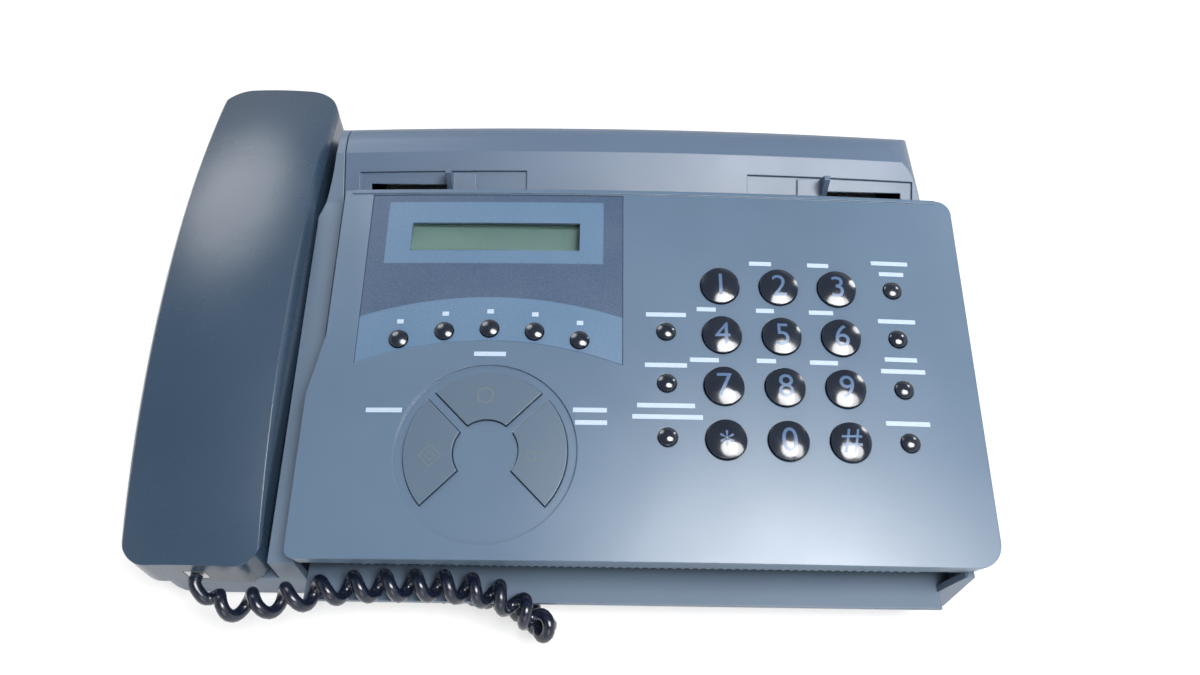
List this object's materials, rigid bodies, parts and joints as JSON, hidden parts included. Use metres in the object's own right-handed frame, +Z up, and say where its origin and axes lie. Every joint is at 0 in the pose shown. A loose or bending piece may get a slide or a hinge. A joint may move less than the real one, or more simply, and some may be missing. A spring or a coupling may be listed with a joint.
{
  "type": "fax machine",
  "caption": "Compact desk fax machine with a side handset on a curly cord, a sloped key panel over the document path, a hinged rear paper cover and a front paper exit lip.",
  "frame": {"origin": "under the middle of the body, on the surface that the feet stand on", "axes": "+X to the right as the user faces it, +Y to the back, +Z up"},
  "size_m": [0.305, 0.2287, 0.079],
  "materials": {
    "cabinet_plastic": "fine moulded texture, satin",
    "cover_plastic": "fine moulded texture, satin",
    "panel_plastic": "fine moulded texture, satin",
    "display_plate_plastic": "printed film, semi gloss",
    "handset_plastic": "smooth satin",
    "key_plastic": "glossy",
    "sector_key_plastic": "satin",
    "window": "clear window",
    "display_panel": "olive liquid crystal display",
    "circuit_board": "solder mask",
    "path_plastic": "satin",
    "steel": "bare sheet",
    "roller_rubber": "ground rubber",
    "sensor_housing": "satin, with a glass strip",
    "roll_paper": "thermal paper",
    "brass_gear": "cut",
    "white_plastic": "natural acetal",
    "cord_plastic": "smooth, slightly glossy",
    "plug_plastic": "smoked clear"
  },
  "bodies": {
    "base": {"lower_cabinet": "cabinet_plastic", "feet": "roller_rubber", "handset_cradle": "cabinet_plastic", "main_board": "circuit_board", "power_supply": "circuit_board", "speaker": "steel", "document_chute": "path_plastic", "image_sensor": "sensor_housing", "thermal_head": "steel", "tear_bar": "steel", "step_motor": "steel", "handset_cord": "cord_plastic", "base_plug": "plug_plastic"},
    "panel": {"operation_panel": "panel_plastic", "display_plate": "display_plate_plastic", "display_lens": "window", "display_module": "display_panel", "panel_board": "circuit_board", "upper_guide": "path_plastic", "separator_pad": "roller_rubber"},
    "key_1_cap": {"key_1": "key_plastic"},
    "key_2_cap": {"key_2": "key_plastic"},
    "key_3_cap": {"key_3": "key_plastic"},
    "key_4_cap": {"key_4": "key_plastic"},
    "key_5_cap": {"key_5": "key_plastic"},
    "key_6_cap": {"key_6": "key_plastic"},
    "key_7_cap": {"key_7": "key_plastic"},
    "key_8_cap": {"key_8": "key_plastic"},
    "key_9_cap": {"key_9": "key_plastic"},
    "key_star_cap": {"key_star": "key_plastic"},
    "key_0_cap": {"key_0": "key_plastic"},
    "key_hash_cap": {"key_hash": "key_plastic"},
    "stop_key_cap": {"stop_key": "sector_key_plastic"},
    "start_key_cap": {"start_key": "sector_key_plastic"},
    "copy_key_cap": {"copy_key": "sector_key_plastic"},
    "quick_key_1_cap": {"quick_key_1": "key_plastic"},
    "quick_key_2_cap": {"quick_key_2": "key_plastic"},
    "quick_key_3_cap": {"quick_key_3": "key_plastic"},
    "quick_key_4_cap": {"quick_key_4": "key_plastic"},
    "quick_key_5_cap": {"quick_key_5": "key_plastic"},
    "volume_key_cap": {"volume_key": "key_plastic"},
    "function_key_cap": {"function_key": "key_plastic"},
    "resolution_key_cap": {"resolution_key": "key_plastic"},
    "speed_dial_key_cap": {"speed_dial_key": "key_plastic"},
    "redial_key_cap": {"redial_key": "key_plastic"},
    "hold_key_cap": {"hold_key": "key_plastic"},
    "speaker_key_cap": {"speaker_key": "key_plastic"},
    "cover": {"rear_cover": "cover_plastic"},
    "guide_left": {"left_guide": "cover_plastic"},
    "guide_right": {"right_guide": "cover_plastic"},
    "guide_gear": {"guide_pinion": "white_plastic"},
    "platen": {"platen_roller": "roller_rubber"},
    "feed": {"feed_roller": "roller_rubber"},
    "exit": {"exit_roller": "roller_rubber"},
    "pinion": {"motor_pinion": "brass_gear"},
    "roll": {"paper_roll": "roll_paper"},
    "handset": {"handset_shell": "handset_plastic", "handset_face": "handset_plastic", "handset_capsules": "steel"},
    "hook": {"hook_plunger": "white_plastic"}
  },
  "joints": [
    {"name": "panel_hinge", "type": "hinge", "parent": "base", "child": "panel", "pos_m": [0, 0.035, 0.064], "axis": [-1, 0, 0], "range_deg": [0, 30]},
    {"name": "cover_hinge", "type": "hinge", "parent": "base", "child": "cover", "pos_m": [0, 0.096, 0.025], "axis": [-1, 0, 0], "range_deg": [0, 60]},
    {"name": "left_guide_slide", "type": "slide", "parent": "cover", "child": "guide_left", "axis": [-1, 0, 0], "range_m": [0, 0.03]},
    {"name": "right_guide_slide", "type": "slide", "parent": "cover", "child": "guide_right", "axis": [1, 0, 0], "range_m": [0, 0.03]},
    {"name": "guide_pinion_spin", "type": "hinge", "parent": "cover", "child": "guide_gear", "pos_m": [0.029, 0.04791, 0.07224], "axis": [0, -0.515, 0.8572], "range_deg": [-345, 0]},
    {"name": "platen_spin", "type": "hinge", "parent": "base", "child": "platen", "pos_m": [0, -0.02225, 0.03052], "axis": [1, 0, 0], "continuous": true},
    {"name": "feed_spin", "type": "hinge", "parent": "base", "child": "feed", "pos_m": [0, -0.00163, 0.04465], "axis": [1, 0, 0], "continuous": true},
    {"name": "exit_spin", "type": "hinge", "parent": "base", "child": "exit", "pos_m": [0, -0.04491, 0.03674], "axis": [1, 0, 0], "continuous": true},
    {"name": "pinion_spin", "type": "hinge", "parent": "base", "child": "pinion", "pos_m": [0, -0.00231, 0.02122], "axis": [1, 0, 0], "continuous": true},
    {"name": "roll_spin", "type": "hinge", "parent": "base", "child": "roll", "pos_m": [0, 0.065, 0.0315], "axis": [1, 0, 0], "continuous": true},
    {"name": "handset_lift", "type": "slide", "parent": "base", "child": "handset", "axis": [0, 0, 1], "range_m": [0, 0.06]},
    {"name": "hook_rise", "type": "slide", "parent": "base", "child": "hook", "axis": [0, 0, 1], "range_m": [0, 0.004]},
    {"name": "key_1_press", "type": "slide", "parent": "panel", "child": "key_1_cap", "axis": [0, 0.1908, -0.9816], "range_m": [0, 0.0012], "stiffness_N_per_m": 400, "springref_m": -0.001},
    {"name": "key_2_press", "type": "slide", "parent": "panel", "child": "key_2_cap", "axis": [0, 0.1908, -0.9816], "range_m": [0, 0.0012], "stiffness_N_per_m": 400, "springref_m": -0.001},
    {"name": "key_3_press", "type": "slide", "parent": "panel", "child": "key_3_cap", "axis": [0, 0.1908, -0.9816], "range_m": [0, 0.0012], "stiffness_N_per_m": 400, "springref_m": -0.001},
    {"name": "key_4_press", "type": "slide", "parent": "panel", "child": "key_4_cap", "axis": [0, 0.1908, -0.9816], "range_m": [0, 0.0012], "stiffness_N_per_m": 400, "springref_m": -0.001},
    {"name": "key_5_press", "type": "slide", "parent": "panel", "child": "key_5_cap", "axis": [0, 0.1908, -0.9816], "range_m": [0, 0.0012], "stiffness_N_per_m": 400, "springref_m": -0.001},
    {"name": "key_6_press", "type": "slide", "parent": "panel", "child": "key_6_cap", "axis": [0, 0.1908, -0.9816], "range_m": [0, 0.0012], "stiffness_N_per_m": 400, "springref_m": -0.001},
    {"name": "key_7_press", "type": "slide", "parent": "panel", "child": "key_7_cap", "axis": [0, 0.1908, -0.9816], "range_m": [0, 0.0012], "stiffness_N_per_m": 400, "springref_m": -0.001},
    {"name": "key_8_press", "type": "slide", "parent": "panel", "child": "key_8_cap", "axis": [0, 0.1908, -0.9816], "range_m": [0, 0.0012], "stiffness_N_per_m": 400, "springref_m": -0.001},
    {"name": "key_9_press", "type": "slide", "parent": "panel", "child": "key_9_cap", "axis": [0, 0.1908, -0.9816], "range_m": [0, 0.0012], "stiffness_N_per_m": 400, "springref_m": -0.001},
    {"name": "key_star_press", "type": "slide", "parent": "panel", "child": "key_star_cap", "axis": [0, 0.1908, -0.9816], "range_m": [0, 0.0012], "stiffness_N_per_m": 400, "springref_m": -0.001},
    {"name": "key_0_press", "type": "slide", "parent": "panel", "child": "key_0_cap", "axis": [0, 0.1908, -0.9816], "range_m": [0, 0.0012], "stiffness_N_per_m": 400, "springref_m": -0.001},
    {"name": "key_hash_press", "type": "slide", "parent": "panel", "child": "key_hash_cap", "axis": [0, 0.1908, -0.9816], "range_m": [0, 0.0012], "stiffness_N_per_m": 400, "springref_m": -0.001},
    {"name": "stop_key_press", "type": "slide", "parent": "panel", "child": "stop_key_cap", "axis": [0, 0.1908, -0.9816], "range_m": [0, 0.0012], "stiffness_N_per_m": 400, "springref_m": -0.001},
    {"name": "start_key_press", "type": "slide", "parent": "panel", "child": "start_key_cap", "axis": [0, 0.1908, -0.9816], "range_m": [0, 0.0012], "stiffness_N_per_m": 400, "springref_m": -0.001},
    {"name": "copy_key_press", "type": "slide", "parent": "panel", "child": "copy_key_cap", "axis": [0, 0.1908, -0.9816], "range_m": [0, 0.0012], "stiffness_N_per_m": 400, "springref_m": -0.001},
    {"name": "quick_key_1_press", "type": "slide", "parent": "panel", "child": "quick_key_1_cap", "axis": [0, 0.1908, -0.9816], "range_m": [0, 0.0012], "stiffness_N_per_m": 400, "springref_m": -0.001},
    {"name": "quick_key_2_press", "type": "slide", "parent": "panel", "child": "quick_key_2_cap", "axis": [0, 0.1908, -0.9816], "range_m": [0, 0.0012], "stiffness_N_per_m": 400, "springref_m": -0.001},
    {"name": "quick_key_3_press", "type": "slide", "parent": "panel", "child": "quick_key_3_cap", "axis": [0, 0.1908, -0.9816], "range_m": [0, 0.0012], "stiffness_N_per_m": 400, "springref_m": -0.001},
    {"name": "quick_key_4_press", "type": "slide", "parent": "panel", "child": "quick_key_4_cap", "axis": [0, 0.1908, -0.9816], "range_m": [0, 0.0012], "stiffness_N_per_m": 400, "springref_m": -0.001},
    {"name": "quick_key_5_press", "type": "slide", "parent": "panel", "child": "quick_key_5_cap", "axis": [0, 0.1908, -0.9816], "range_m": [0, 0.0012], "stiffness_N_per_m": 400, "springref_m": -0.001},
    {"name": "volume_key_press", "type": "slide", "parent": "panel", "child": "volume_key_cap", "axis": [0, 0.1908, -0.9816], "range_m": [0, 0.0012], "stiffness_N_per_m": 400, "springref_m": -0.001},
    {"name": "function_key_press", "type": "slide", "parent": "panel", "child": "function_key_cap", "axis": [0, 0.1908, -0.9816], "range_m": [0, 0.0012], "stiffness_N_per_m": 400, "springref_m": -0.001},
    {"name": "resolution_key_press", "type": "slide", "parent": "panel", "child": "resolution_key_cap", "axis": [0, 0.1908, -0.9816], "range_m": [0, 0.0012], "stiffness_N_per_m": 400, "springref_m": -0.001},
    {"name": "speed_dial_key_press", "type": "slide", "parent": "panel", "child": "speed_dial_key_cap", "axis": [0, 0.1908, -0.9816], "range_m": [0, 0.0012], "stiffness_N_per_m": 400, "springref_m": -0.001},
    {"name": "redial_key_press", "type": "slide", "parent": "panel", "child": "redial_key_cap", "axis": [0, 0.1908, -0.9816], "range_m": [0, 0.0012], "stiffness_N_per_m": 400, "springref_m": -0.001},
    {"name": "hold_key_press", "type": "slide", "parent": "panel", "child": "hold_key_cap", "axis": [0, 0.1908, -0.9816], "range_m": [0, 0.0012], "stiffness_N_per_m": 400, "springref_m": -0.001},
    {"name": "speaker_key_press", "type": "slide", "parent": "panel", "child": "speaker_key_cap", "axis": [0, 0.1908, -0.9816], "range_m": [0, 0.0012], "stiffness_N_per_m": 400, "springref_m": -0.001}
  ],
  "couplings": [
    {"joint": "right_guide_slide", "follows": "left_guide_slide", "ratio": 1},
    {"joint": "guide_pinion_spin", "follows": "left_guide_slide", "rad_per_m": -200},
    {"joint": "feed_spin", "follows": "platen_spin", "ratio": -1.7778},
    {"joint": "exit_spin", "follows": "platen_spin", "ratio": -2.1333},
    {"joint": "pinion_spin", "follows": "platen_spin", "ratio": -2.6667},
    {"joint": "hook_rise", "follows": "handset_lift", "ratio": 0.0666}
  ]
}
